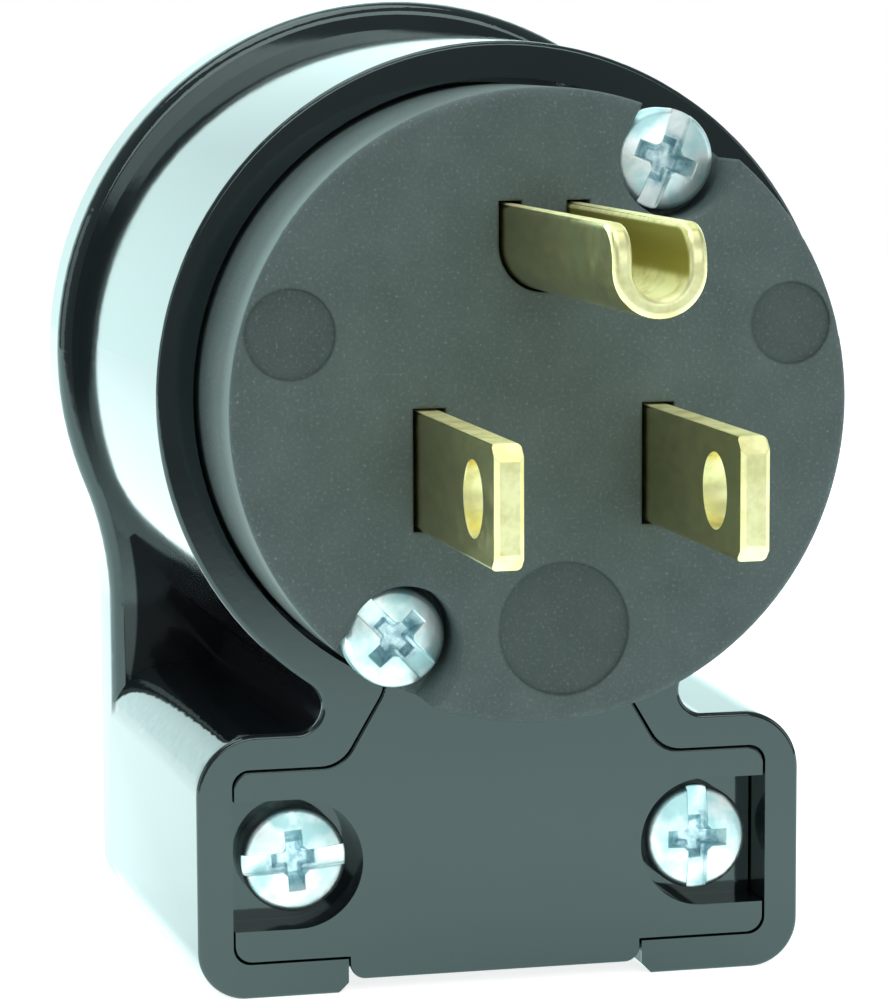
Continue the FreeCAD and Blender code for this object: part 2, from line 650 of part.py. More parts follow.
def make_plate():
    plate = prism(plate_outline(RIM_Y, 0, False), PLATE_THICK)
    plate = plate.makeFillet(PLATE_EDGE, edges_at(plate, RIM_Y))
    plate = plate.cut(rod(BORE_R, RIM_Y - PAST, PLATE_BACK + PAST))
    notch_floor = RIM_Y + CLAMP_NOTCH_DEPTH
    low = CLAMP_SCREW_Z - CLAMP_NOTCH_R
    high = CLAMP_SCREW_Z + CLAMP_NOTCH_R
    for side in (-1, 1):
        x = side * CLAMP_SCREW_X
        near, far = sorted((x, side * (EAR_HALF + PAST)))
        notch = rod(CLAMP_NOTCH_R, RIM_Y - PAST, notch_floor, x, CLAMP_SCREW_Z)
        notch = notch.fuse(block(near, far, RIM_Y - PAST, notch_floor, low, high))
        hole = rod(CLAMP_SHANK_R + SHANK_GAP, RIM_Y, PLATE_BACK + PAST, x, CLAMP_SCREW_Z)
        plate = plate.cut(notch.fuse(hole))
    ribs = jaw_ribs(PLATE_BACK - PAST, CORD_AXIS_Y - JAW_GAP)
    return plate.fuse(ribs).removeSplitter()


def make_insert(outer_r, shank_r, x, y, z):
    bush = rod(outer_r, y, y + INSERT_LENGTH, x, z)
    return bush.cut(rod(shank_r + THREAD_GAP, y - PAST, y + INSERT_LENGTH + PAST, x, z))


def make_pressure_plate(x, z):
    """Square plate under the terminal screw's head, which holds the wire on the pad."""
    y = SEAT_Y + BLADE_THICK
    plate = block(x - PRESSURE_HALF, x + PRESSURE_HALF, y, y + PRESSURE_THICK,
                  z - PRESSURE_HALF, z + PRESSURE_HALF)
    upright = [e for e in plate.Edges if abs(e.BoundBox.YLength - PRESSURE_THICK) < TOUCH]
    plate = plate.makeFillet(PRESSURE_CORNER, upright)
    return plate.cut(rod(TERMINAL_SHANK_R + SHANK_GAP / 2, y - PAST, y + PRESSURE_THICK + PAST, x, z))


def make_terminal_screw(x, z):
    body = screw(TERMINAL_HEAD_R, TERMINAL_HEAD_HEIGHT, TERMINAL_SHANK_R, TERMINAL_SCREW_LENGTH, 0)
    body.rotate(vec(0, 0, 0), vec(0, 0, 1), 180)
    return placed(body, x, SEAT_Y + BLADE_THICK + PRESSURE_THICK, z)


def build():
    nodes = {
        "rear_housing": make_housing(),
        "face_insulator": make_face(),
        "terminal_carrier": make_carrier(),
        "line_blade": make_blade(1),
        "neutral_blade": make_blade(-1),
        "ground_pin": make_ground_pin(),
        "cord_clamp_plate": make_plate(),
    }
    terminals = {
        "line": (BLADE_PITCH / 2 + TERMINAL_SCREW_OFFSET, -BLADE_DROP),
        "neutral": (-BLADE_PITCH / 2 - TERMINAL_SCREW_OFFSET, -BLADE_DROP),
        "ground": (GROUND_SCREW_X, GROUND_Z),
    }
    for name, (x, z) in terminals.items():
        nodes[name + "_pressure_plate"] = make_pressure_plate(x, z)
        nodes[name + "_terminal_screw"] = make_terminal_screw(x, z)
    slots = {"upper": UPPER_SLOT_ANGLE, "lower": LOWER_SLOT_ANGLE}
    for name, (x, z) in assembly_points().items():
        body = screw(ASSEMBLY_HEAD_R, ASSEMBLY_HEAD_HEIGHT, ASSEMBLY_SHANK_R,
                     ASSEMBLY_SCREW_LENGTH, slots[name])
        nodes["assembly_screw_" + name] = placed(body, x, NOTCH_DEPTH, z)
        nodes["assembly_insert_" + name] = make_insert(ASSEMBLY_INSERT_R, ASSEMBLY_SHANK_R, x, SEAT_Y, z)
    clamps = {"left": (-CLAMP_SCREW_X, LEFT_SLOT_ANGLE), "right": (CLAMP_SCREW_X, RIGHT_SLOT_ANGLE)}
    for name, (x, angle) in clamps.items():
        body = screw(CLAMP_HEAD_R, CLAMP_HEAD_HEIGHT, CLAMP_SHANK_R, CLAMP_SCREW_LENGTH, angle)
        nodes["clamp_screw_" + name] = placed(body, x, RIM_Y + CLAMP_NOTCH_DEPTH, CLAMP_SCREW_Z)
        nodes["clamp_insert_" + name] = make_insert(CLAMP_INSERT_R, CLAMP_SHANK_R,
                                                    x, PLATE_BACK, CLAMP_SCREW_Z)
    return nodes


def main():
    os.makedirs("parts", exist_ok=True)
    for name, shape in build().items():
        solids = shape.Solids
        if len(solids) == 1:
            shape = solids[0]
        print(name, "solids", len(solids), "valid", shape.isValid(), "volume", round(shape.Volume, 2))
        shape.exportStep("parts/" + name + ".step")


main()
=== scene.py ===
import bmesh
import bpy
import math
from mathutils import Matrix, Vector


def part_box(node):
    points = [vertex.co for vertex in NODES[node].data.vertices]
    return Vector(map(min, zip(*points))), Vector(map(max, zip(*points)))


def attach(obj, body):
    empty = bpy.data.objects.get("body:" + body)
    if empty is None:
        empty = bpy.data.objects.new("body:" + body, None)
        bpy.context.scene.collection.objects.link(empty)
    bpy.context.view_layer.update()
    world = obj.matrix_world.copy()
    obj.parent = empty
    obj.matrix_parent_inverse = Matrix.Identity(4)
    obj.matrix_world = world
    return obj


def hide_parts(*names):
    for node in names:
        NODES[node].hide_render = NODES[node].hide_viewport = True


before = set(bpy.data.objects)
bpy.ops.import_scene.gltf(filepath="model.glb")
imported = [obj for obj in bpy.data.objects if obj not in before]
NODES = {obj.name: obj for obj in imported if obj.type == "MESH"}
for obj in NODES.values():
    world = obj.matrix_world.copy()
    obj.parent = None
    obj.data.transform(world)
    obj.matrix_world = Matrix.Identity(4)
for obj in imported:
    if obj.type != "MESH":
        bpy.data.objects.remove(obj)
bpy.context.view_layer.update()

# Sizes and places below are in millimetres, and MM turns them into metres
MM = 0.001

# The camera's place and turn, fitted to the contacts in the photograph
CAMERA_AT = (-54.334, -199.469, 21.192)
CAMERA_RIGHT = (0.971266, -0.237960, -0.004113)
CAMERA_DOWN = (-0.033799, -0.120809, -0.992100)
CAMERA_FORWARD = (0.235584, 0.963732, -0.125380)
CAMERA_LENS = 139.49
CAMERA_SENSOR = 36
CAMERA_NEAR = 10

# Lamps: name, place, width, height and radiance. All aim at the origin
LAMP_COLOR = (0.92, 1.0, 0.99)
LAMPS = [
    ("top_softbox", (-60, -60, 420), 360, 360, 2.2),
    ("front_key", (60, -480, 170), 320, 240, 2.2),
    ("left_panel", (-420, -60, 60), 260, 260, 0.9),
    ("right_fill", (420, -160, 120), 260, 260, 1.2),
]

# What the camera sees behind the object, and the light that matt faces get from the room
BACKDROP = (1, 1, 1)
SKY_COLOR = (0.9, 0.95, 1.0)
SKY_LIGHT = 0.5

# What shiny faces see of the room, from before the object to its side
ROOM_TONES = [(0.0, (0.08, 0.09, 0.09)), (0.25, (0.10, 0.115, 0.115)), (0.5, (0.12, 0.135, 0.135))]

# What they see of the wall behind the object, from its left to its right
WALL_TONES = [(0.38, (0.72, 0.96, 0.95)), (0.46, (0.54, 0.71, 0.70)), (0.53, (0.57, 0.74, 0.73)),
              (0.62, (0.62, 0.83, 0.82)), (0.8, (0.4, 0.5, 0.5))]

# How far back a reflection points where the room begins to turn into the wall, and where it has turned
WALL_START = 0.3
WALL_END = 0.7
ROOM_GLOW = 2.5

# The pale floor, and the glow that lifts it towards white for the camera
FLOOR_Z = -33.75
FLOOR_FRONT = -220
FLOOR_BACK = 620
FLOOR_HALF = 460
FLOOR_COLOR = (0.9, 0.9, 0.9)
FLOOR_LIFT = 0.8

# What shiny faces see of the floor, from its front edge to as far behind the object
FLOOR_TONES = [(0.12, (0.0, 0.0, 0.0)), (0.2, (0.14, 0.19, 0.19)), (0.3, (0.32, 0.44, 0.43)),
               (0.5, (0.42, 0.56, 0.55)), (0.56, (0.58, 0.79, 0.78)), (1.0, (0.66, 0.89, 0.88))]
FLOOR_GLOW = 2.0

# In shiny faces the floor turns dark towards its front edge
FLOOR_FADE_START = -235
FLOOR_FADE_END = -80

# Outline of the housing, as in the CAD
RIM_Y = 9.0
RIM_EDGE = 0.25
RIM_R = 19.53
CUP_SLOPE = math.tan(math.radians(1.2))
CROTCH_R = 1.45
BLOCK_TOP = -18.75
BLOCK_FOOT = -33.77
FOOT_CORNER = 2.8
BLOCK_CORNER = 3.4
BLOCK_HALF = 17.57
BLOCK_SLOPE = math.tan(math.radians(1.6))
FLANGE_Y = 34.1
FLANGE_R = 21.3
FLANGE_RISE = 0.45
FLANGE_BLEND = 20.0
FLANGE_EDGE = 0.8
BACK_Y = 39.0
BACK_EDGE = 1.0

# How the facets of the housing are joined, and how near a corner or a facet has to be to the drawn surface
JOIN_DISTANCE = 0.002
SMOOTH_ANGLE = math.radians(32)
AREA_WEIGHT = 50
HAIR = 0.02
PLANE_COSINE = math.cos(math.radians(3))
SAME_COSINE = math.cos(math.radians(50))

# Edges between corners on the cup are split where their middle lies further inside it than CUP_SAG
ON_CUP = 0.006
CUP_SAG = 0.02
CUP_ROUNDS = 8

# Black nylon, and how uneven its polish is
NYLON_TINT = (0.82, 1.0, 0.98)
NYLON_TONES = [(0.3, (0.006, 0.009, 0.010)), (0.7, (0.010, 0.014, 0.015))]
NYLON_SHEEN = [(0.3, (0.05, 0.05, 0.05)), (0.7, (0.09, 0.09, 0.09))]
PLAIN_LEVEL = 0.5

# The hollow between cup and block, where shade is painted: a plain black and a much weaker reflection than
# on the rest of the moulding
CROTCH_SHADE_BLACK = (0.011, 0.012, 0.014)
CROTCH_SHADE_LEVEL = 0.06
CROTCH_TOP = -18.72
CROTCH_TOP_SOFT = 0.05
CROTCH_FRONT = 9.4
CROTCH_FRONT_SOFT = 0.1
CROTCH_BACK = 34.3
CROTCH_WALL = 33.95
CROTCH_DROP = 0.9
CROTCH_LEAN = 0.62
CROTCH_TURN = 0.0113
CROTCH_SOFT = 0.25
LIP_X = 38.27
LIP_Z = -15.08
LIP_REACH = 21.55
LIP_SOFT = 0.1

# The walls of the two pockets in the clamp plate have a share of that painted shade
POCKET_FRONT = 9.2
POCKET_FLOOR = 11.7
POCKET_SIDE = 15.7
POCKET_TOP = -20.0
POCKET_SHADE_SHARE = 0.8

# Pale specks of the grey mouldings
SPECK_SHARE = [(0.5, (0.0, 0.0, 0.0)), (0.62, (0.12, 0.12, 0.12)), (0.8, (1.0, 1.0, 1.0))]
SPECK_GAIN = 2.4

# Round moulding marks sunk in the face
MARK_FRONT = 0.1
MARK_BACK = 0.35
MARK_FACING = -0.9
MARK_TONE = (0.74, 0.74, 0.74)

# The outer side of the face's disc, where it faces left, on which a highlight is painted
SIDE_BACK = 3.2
SIDE_FRONT = 0.5
SIDE_REACH = 16.2
SIDE_OUTWARD = 0.95
SIDE_FACING = (0.3, 0.7)
SIDE_HIGHLIGHT_GAIN = 2.3

# Streaks and patches darken a metal by this factor
DULL_TONE = 0.8

# Rolled brass is streaked along the contact, darker at its root and paler at its tip
ROLL_STRETCH = (1.0, 0.35, 1.0)
CONTACT_REACH = 16.0
ROOT_TONE = 0.72
TIP_TONE = 1.15
WEAR_ROUGH = 0.09

# The cut ends and the upper edges of the contacts are paler and more matt than their rolled sides
FRONT_FACING = (0.5, 0.8)
TOP_FACING = (0.75, 0.95)
END_TONES = [(0.38, (0.80, 0.73, 0.36)), (0.56, (0.98, 0.93, 0.53))]
END_ROUGH = (0.45, 0.45, 0.45)
TOP_ROUGH = (0.7, 0.7, 0.7)

# Inside of the folded ground pin, whose walls are painted a darker, deeper brass as shade
FOLD_HALF = 1.5
FOLD_LOW = 7.0
FOLD_FACING = (0.05, 0.4)
FOLD_SHADE_BRASS = (0.5, 0.46, 0.12)
FOLD_ROUGH = (0.5, 0.5, 0.5)

# How much rougher zinc plating is where it is dull
ZINC_WEAR = 0.12

# Domed heads of the visible screws: their rise in metres for each square metre off the axis, and the recess,
# where shade is painted darker and bluer
HEAD_DOMES = {"assembly": 58.0, "clamp": 49.0}
HEAD_TONES = [(0.38, (0.50, 0.74, 0.76)), (0.56, (0.94, 1.0, 1.0))]
HEAD_ROUGH = [(0.35, (0.46, 0.46, 0.46)), (0.6, (0.36, 0.36, 0.36))]
RECESS_SHADE_TONES = [(0.35, (0.34, 0.50, 0.57)), (0.65, (0.82, 0.98, 1.0))]
RECESS_R = 1.25
RECESS_SOFT = 0.5
RECESS_TOP = 0.08
RECESS_LOW = 0.25

# Directions tried for each point near a rounded edge
BEVEL_SAMPLES = 4


def grey(level):
    return (level, level, level)


def scaled(color, factor):
    return tuple(factor * part for part in color)


def node_tree(material):
    material.use_nodes = True
    tree = material.node_tree
    tree.nodes.clear()
    out = tree.nodes.new("ShaderNodeOutputMaterial")
    return tree, out


def add(tree, kind, **values):
    """New node, with its settings or its inputs given by name."""
    node = tree.nodes.new(kind)
    for key, value in values.items():
        if hasattr(node, key):
            setattr(node, key, value)
        else:
            node.inputs[key.replace("_", " ")].default_value = value
    return node


def coordinates(tree, kind="Object"):
    return tree.nodes.new("ShaderNodeTexCoord").outputs[kind]


def split_xyz(tree, vector):
    node = tree.nodes.new("ShaderNodeSeparateXYZ")
    tree.links.new(vector, node.inputs["Vector"])
    return node.outputs["X"], node.outputs["Y"], node.outputs["Z"]


def ramp(tree, source, stops):
    """Colour from a value, by stops of a place and a colour."""
    node = tree.nodes.new("ShaderNodeValToRGB")
    while len(node.color_ramp.elements) < len(stops):
        node.color_ramp.elements.new(0.5)
    for element, (at, color) in zip(node.color_ramp.elements, stops):
        element.position = at
        element.color = (*color, 1)
    tree.links.new(source, node.inputs["Fac"])
    return node.outputs["Color"]


def noise(tree, vector, scale, detail, rough=0.5):
    node = add(tree, "ShaderNodeTexNoise", Scale=scale, Detail=detail, Roughness=rough)
    tree.links.new(vector, node.inputs["Vector"])
    return node.outputs["Fac"]


def calc(tree, operation, first, second=None):
    """Result of an operation on one or two numbers or sockets."""
    node = tree.nodes.new("ShaderNodeMath")
    node.operation = operation
    for socket, value in zip(node.inputs, (first, second)):
        if isinstance(value, (int, float)):
            socket.default_value = value
        elif value is not None:
            tree.links.new(value, socket)
    return node.outputs["Value"]


def product(tree, *factors):
    result = factors[0]
    for factor in factors[1:]:
        result = calc(tree, "MULTIPLY", result, factor)
    return result


def square_sum(tree, first, second):
    return calc(tree, "ADD", product(tree, first, first), product(tree, second, second))


def rise(tree, value, start, end, curve="LINEAR"):
    """0 where value is under start and 1 over end."""
    node = tree.nodes.new("ShaderNodeMapRange")
    node.interpolation_type = curve
    node.inputs["From Min"].default_value = start
    node.inputs["From Max"].default_value = end
    tree.links.new(value, node.inputs["Value"])
    return node.outputs["Result"]


def fade(tree, value, start, end):
    """As rise, with soft ends."""
    return rise(tree, value, start, end, "SMOOTHSTEP")


def blend(tree, factor, first, second, kind="MIX"):
    """Colour first where factor is 0, and second where it is 1."""
    node = tree.nodes.new("ShaderNodeMix")
    node.data_type = "RGBA"
    node.blend_type = kind
    for key, value in (("Factor", factor), ("A", first), ("B", second)):
        if isinstance(value, tuple):
            node.inputs[key].default_value = (*value, 1)
        elif isinstance(value, float):
            node.inputs[key].default_value = value
        else:
            tree.links.new(value, node.inputs[key])
    return node.outputs["Result"]


def mix_shaders(tree, factor, first, second):
    node = tree.nodes.new("ShaderNodeMixShader")
    tree.links.new(factor, node.inputs["Fac"])
    tree.links.new(first, node.inputs[1])
    tree.links.new(second, node.inputs[2])
    return node.outputs["Shader"]


def soft_edges(tree, radius):
    """Normal that is rounded along sharp edges, as by a stamping or plating."""
    return add(tree, "ShaderNodeBevel", samples=BEVEL_SAMPLES, Radius=radius * MM).outputs["Normal"]


def bump(tree, height, depth, strength, below=None):
    node = add(tree, "ShaderNodeBump", Distance=depth * MM, Strength=strength)
    tree.links.new(height, node.inputs["Height"])
    if below is not None:
        tree.links.new(below, node.inputs["Normal"])
    return node.outputs["Normal"]


def new_material(name, **values):
    """A material, its nodes and its principled shader, with the inputs that are the same all over."""
    material = bpy.data.materials.new(name)
    tree, out = node_tree(material)
    shader = add(tree, "ShaderNodeBsdfPrincipled", **values)
    tree.links.new(shader.outputs["BSDF"], out.inputs["Surface"])
    return material, tree, shader


def feed(tree, shader, **sources):
    """Link sockets to the inputs of a shader by name."""
    for key, source in sources.items():
        tree.links.new(source, shader.inputs[key.replace("_", " ")])


def crotch_shade_mask(tree, place):
    """1 in the two hollows between the cup and the block, inside the flange's lip, where shade is painted.

    Each lies above the block's top and under a line that leans down from the middle, more so towards the
    front. On the flange it reaches a little lower.
    """
    across, depth, height = split_xyz(tree, place)
    side = calc(tree, "ABSOLUTE", across)
    turn = product(tree, calc(tree, "SUBTRACT", CROTCH_BACK * MM, depth), CROTCH_TURN / MM)
    lean = calc(tree, "ADD", turn, CROTCH_LEAN)
    drop = product(tree, calc(tree, "ADD", product(tree, side, lean), height), -1.0)
    under = fade(tree, drop, 0.0, CROTCH_SOFT * MM)
    wall = product(tree, calc(tree, "GREATER_THAN", depth, CROTCH_WALL * MM), CROTCH_DROP * MM)
    top = calc(tree, "ADD", height, wall)
    above = fade(tree, top, CROTCH_TOP * MM, (CROTCH_TOP + CROTCH_TOP_SOFT) * MM)
    behind = fade(tree, depth, CROTCH_FRONT * MM, (CROTCH_FRONT + CROTCH_FRONT_SOFT) * MM)
    before = calc(tree, "LESS_THAN", depth, CROTCH_BACK * MM)
    sideways = calc(tree, "SUBTRACT", LIP_X * MM, side)
    upward = calc(tree, "SUBTRACT", height, LIP_Z * MM)
    reach = calc(tree, "SQRT", square_sum(tree, sideways, upward))
    inside = fade(tree, reach, (LIP_REACH - LIP_SOFT) * MM, (LIP_REACH + LIP_SOFT) * MM)
    return product(tree, under, above, behind, before, inside)


def pocket_shade_mask(tree, place):
    """Share of painted shade on the walls around the clamp screws."""
    across, depth, height = split_xyz(tree, place)
    side = calc(tree, "LESS_THAN", calc(tree, "ABSOLUTE", across), POCKET_SIDE * MM)
    before = calc(tree, "LESS_THAN", depth, POCKET_FLOOR * MM)
    behind = calc(tree, "GREATER_THAN", depth, POCKET_FRONT * MM)
    under = calc(tree, "LESS_THAN", height, POCKET_TOP * MM)
    return product(tree, side, before, behind, under, POCKET_SHADE_SHARE)


def black_nylon():
    """Glossy black housing moulding, a little uneven in its polish, with painted shade in the hollows
    between cup and block and on the clamp pocket walls.
    """
    material, tree, shader = new_material("black_nylon_moulding", IOR=1.75, Specular_Tint=(*NYLON_TINT, 1))
    place = coordinates(tree)
    cloud = noise(tree, place, scale=90, detail=4)
    # Painted shade: the crotch hollows and the pocket walls get plain black and a weaker reflection
    shade_share = calc(tree, "MAXIMUM", crotch_shade_mask(tree, place), pocket_shade_mask(tree, place))
    gain = product(tree, calc(tree, "SUBTRACT", 1.0, shade_share), PLAIN_LEVEL - CROTCH_SHADE_LEVEL)
    grain = noise(tree, place, scale=1500, detail=3, rough=0.6)
    feed(tree, shader, Base_Color=blend(tree, shade_share, ramp(tree, cloud, NYLON_TONES), CROTCH_SHADE_BLACK),
         Roughness=ramp(tree, cloud, NYLON_SHEEN), Specular_IOR_Level=calc(tree, "ADD", gain, CROTCH_SHADE_LEVEL),
         Normal=bump(tree, grain, depth=0.02, strength=0.1))
    return material


def mark_mask(tree, place, facing):
    """1 on the floor of the round moulding marks."""
    _, depth, _ = split_xyz(tree, place)
    _, backward, _ = split_xyz(tree, facing)
    ahead = calc(tree, "LESS_THAN", backward, MARK_FACING)
    behind = calc(tree, "GREATER_THAN", depth, MARK_FRONT * MM)
    before = calc(tree, "LESS_THAN", depth, MARK_BACK * MM)
    return product(tree, behind, before, ahead)


def side_highlight_mask(tree, place, facing):
    """1 on the left of the disc's outer side, towards its front, where a highlight is painted."""
    across, depth, height = split_xyz(tree, place)
    sideways, _, upward = split_xyz(tree, facing)
    left = fade(tree, product(tree, sideways, -1.0), *SIDE_FACING)
    ahead = fade(tree, product(tree, depth, -1.0), -SIDE_BACK * MM, -SIDE_FRONT * MM)
    reach = calc(tree, "SQRT", square_sum(tree, across, height))
    outer = calc(tree, "GREATER_THAN", reach, SIDE_REACH * MM)
    along = calc(tree, "ADD", product(tree, across, sideways), product(tree, height, upward))
    outward = calc(tree, "GREATER_THAN", calc(tree, "DIVIDE", along, reach), SIDE_OUTWARD)
    return product(tree, ahead, left, outer, outward)


def grey_thermoset(name, dark, light):
    """Matt moulded insulator, a little mottled, with a fine grain, and a painted highlight on the left of
    its outer side.
    """
    material, tree, shader = new_material(name, IOR=1.38, Roughness=0.55)
    place = coordinates(tree)
    facing = coordinates(tree, "Normal")
    cloud = noise(tree, place, scale=260, detail=5, rough=0.6)
    tone = ramp(tree, cloud, [(0.3, dark), (0.7, light)])
    specks = noise(tree, place, scale=5600, detail=3, rough=0.62)
    speckled = blend(tree, ramp(tree, specks, SPECK_SHARE), tone, scaled(light, SPECK_GAIN))
    shade = blend(tree, 1.0, speckled, MARK_TONE, "MULTIPLY")
    marked = blend(tree, mark_mask(tree, place, facing), speckled, shade)
    # Painted highlight: the left of the disc's outer side is made paler, as if lit from that side
    pale = tuple(SIDE_HIGHLIGHT_GAIN * (low + high) / 2 for low, high in zip(dark, light))
    grain = noise(tree, place, scale=3600, detail=4, rough=0.7)
    feed(tree, shader, Base_Color=blend(tree, side_highlight_mask(tree, place, facing), marked, pale),
         Normal=bump(tree, grain, depth=0.08, strength=0.6, below=soft_edges(tree, radius=0.3)))
    return material


def rolled_brass(name, color, rough):
    """Brass strip with rolling lines along the contact, paler at its cut ends, with painted shade inside the
    ground pin's fold.
    """
    material, tree, shader = new_material(name, Metallic=1.0)
    place = coordinates(tree)
    stretch = add(tree, "ShaderNodeMapping", Scale=ROLL_STRETCH)
    tree.links.new(place, stretch.inputs["Vector"])
    across, depth, height = split_xyz(tree, place)
    _, backward, upward = split_xyz(tree, coordinates(tree, "Normal"))

    lines = noise(tree, stretch.outputs["Vector"], scale=1500, detail=4, rough=0.62)
    tone = ramp(tree, lines, [(0.32, scaled(color, DULL_TONE)), (0.66, color)])
    tip = fade(tree, product(tree, depth, -1.0), 0.0, CONTACT_REACH * MM)
    # Darker at the root and paler at the tip
    root_to_tip_tone = blend(tree, tip, scaled(color, ROOT_TONE), scaled(color, TIP_TONE))
    rolled = blend(tree, 1.0, tone, root_to_tip_tone, "MULTIPLY")
    wear = noise(tree, place, scale=700, detail=5, rough=0.6)
    gloss = ramp(tree, wear, [(0.35, grey(rough)), (0.68, grey(rough + WEAR_ROUGH))])

    middle = calc(tree, "LESS_THAN", calc(tree, "ABSOLUTE", across), FOLD_HALF * MM)
    above = calc(tree, "GREATER_THAN", height, FOLD_LOW * MM)
    fold = product(tree, middle, above)
    # Painted shade: the inside of the ground pin's fold is a darker, deeper brass
    plain = blend(tree, fold, rolled, FOLD_SHADE_BRASS)
    matt = blend(tree, fold, gloss, FOLD_ROUGH)

    front = fade(tree, product(tree, backward, -1.0), *FRONT_FACING)
    top = fade(tree, upward, *TOP_FACING)
    hollow = product(tree, fold, fade(tree, upward, *FOLD_FACING))
    end = calc(tree, "MAXIMUM", calc(tree, "MAXIMUM", front, top), hollow)
    spots = noise(tree, place, scale=620, detail=3, rough=0.6)
    edge = blend(tree, front, TOP_ROUGH, END_ROUGH)
    feed(tree, shader, Base_Color=blend(tree, end, plain, ramp(tree, spots, END_TONES)),
         Roughness=blend(tree, end, matt, edge),
         Normal=bump(tree, lines, depth=0.01, strength=0.12, below=soft_edges(tree, radius=0.1)))
    return material


def zinc_plate(name, color, rough):
    """Bright zinc-plated steel, slightly blue and uneven."""
    material, tree, shader = new_material(name, Metallic=1.0)
    cloud = noise(tree, coordinates(tree), scale=700, detail=5, rough=0.65)
    feed(tree, shader, Base_Color=ramp(tree, cloud, [(0.3, scaled(color, DULL_TONE)), (0.7, color)]),
         Roughness=ramp(tree, cloud, [(0.3, grey(rough + ZINC_WEAR)), (0.7, grey(rough))]),
         Normal=bump(tree, cloud, depth=0.04, strength=0.25))
    return material


def plated_head(node_name, crown):
    """Zinc-plated screw whose cross recess has painted shade, darker and bluer than its domed head."""
    low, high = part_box(node_name)
    crest = ((low[0] + high[0]) / 2, low[1], (low[2] + high[2]) / 2)
    material, tree, shader = new_material(node_name + "_plating", Metallic=1.0)
    place = coordinates(tree)
    local = add(tree, "ShaderNodeVectorMath", operation="SUBTRACT")
    local.inputs[1].default_value = crest
    tree.links.new(place, local.inputs[0])
    across, behind, height = split_xyz(tree, local.outputs["Vector"])

    square = square_sum(tree, across, height)
    depth = calc(tree, "SUBTRACT", behind, product(tree, square, crown))
    sunk = fade(tree, depth, RECESS_TOP * MM, RECESS_LOW * MM)
    outer = fade(tree, calc(tree, "SQRT", square), RECESS_R * MM, (RECESS_R + RECESS_SOFT) * MM)
    recess = product(tree, sunk, calc(tree, "SUBTRACT", 1.0, outer))

    cloud = noise(tree, place, scale=480, detail=3)
    scuffs = noise(tree, place, scale=1900, detail=3, rough=0.6)
    # Painted shade in the cross recess, darker and bluer than the head
    recess_shade = ramp(tree, scuffs, RECESS_SHADE_TONES)
    feed(tree, shader, Base_Color=blend(tree, recess, ramp(tree, cloud, HEAD_TONES), recess_shade),
         Roughness=ramp(tree, cloud, HEAD_ROUGH),
         Normal=bump(tree, scuffs, depth=0.05, strength=0.35, below=soft_edges(tree, radius=0.14)))
    return material


BLACK = black_nylon()
FACE_GREY = grey_thermoset("grey_face_moulding", dark=(0.071, 0.098, 0.093), light=(0.094, 0.127, 0.121))
CARRIER_GREY = grey_thermoset("grey_carrier_moulding", dark=(0.17, 0.16, 0.15), light=(0.22, 0.21, 0.2))
BRASS = rolled_brass("contact_brass_strip", color=(1.0, 0.93, 0.62), rough=0.17)
BUSH_BRASS = rolled_brass("turned_brass", color=(0.85, 0.66, 0.33), rough=0.25)
ZINC = zinc_plate("zinc_plated_steel", color=(0.80, 0.87, 0.92), rough=0.24)
GREEN = zinc_plate("green_passivated_steel", color=(0.1, 0.42, 0.18), rough=0.25)

FINISH = {
    "rear_housing": BLACK,
    "cord_clamp_plate": BLACK,
    "face_insulator": FACE_GREY,
    "terminal_carrier": CARRIER_GREY,
    "line_blade": BRASS,
    "neutral_blade": BRASS,
    "ground_pin": BRASS,
    "line_terminal_screw": BUSH_BRASS,
    "ground_terminal_screw": GREEN,
}


def finish_of(name):
    """Material of a node. Bushes are brass, and what has no entry of its own is zinc-plated."""
    kind = name.split("_")[0]
    if "screw" in name and kind in HEAD_DOMES:
        return plated_head(name, HEAD_DOMES[kind])
    return FINISH.get(name, BUSH_BRASS if "insert" in name else ZINC)


def dress_nodes():
    """Give each CAD node its own finish."""
    for name, node in NODES.items():
        node.data.materials.clear()
        node.data.materials.append(finish_of(name))


def cup_normal(x, y, z):
    """Outward direction of the round cup, the crotch and the block's top and sides."""
    radius = RIM_R + (y - RIM_Y) * CUP_SLOPE
    half = BLOCK_HALF + (y - RIM_Y) * BLOCK_SLOPE
    low = BLOCK_TOP + CROTCH_R
    side = math.sqrt((radius + CROTCH_R) ** 2 - low ** 2)
    if z * side > low * x:
        return Vector((x, -radius * CUP_SLOPE, z))
    if x < side:
        return Vector((side - x, 0, low - z))
    if x < half - BLOCK_CORNER:
        return Vector((0, 0, 1))
    if z > BLOCK_TOP - BLOCK_CORNER:
        return Vector((x - half + BLOCK_CORNER, -BLOCK_CORNER * BLOCK_SLOPE, z - BLOCK_TOP + BLOCK_CORNER))
    drop = min(0, z - BLOCK_FOOT - FOOT_CORNER)
    return Vector((FOOT_CORNER, -FOOT_CORNER * BLOCK_SLOPE, drop))


def flange_normal(x, y, z):
    """Outward direction of the flange's edge."""
    side = BLOCK_HALF + (y - RIM_Y) * BLOCK_SLOPE + FLANGE_BLEND
    low = FLANGE_RISE - math.sqrt((FLANGE_R + FLANGE_BLEND) ** 2 - side ** 2)
    if (z - FLANGE_RISE) * side > (low - FLANGE_RISE) * x:
        return Vector((x, 0, z - FLANGE_RISE))
    if z > low:
        return Vector((side - x, 0, low - z))
    return Vector((1, 0, 0))


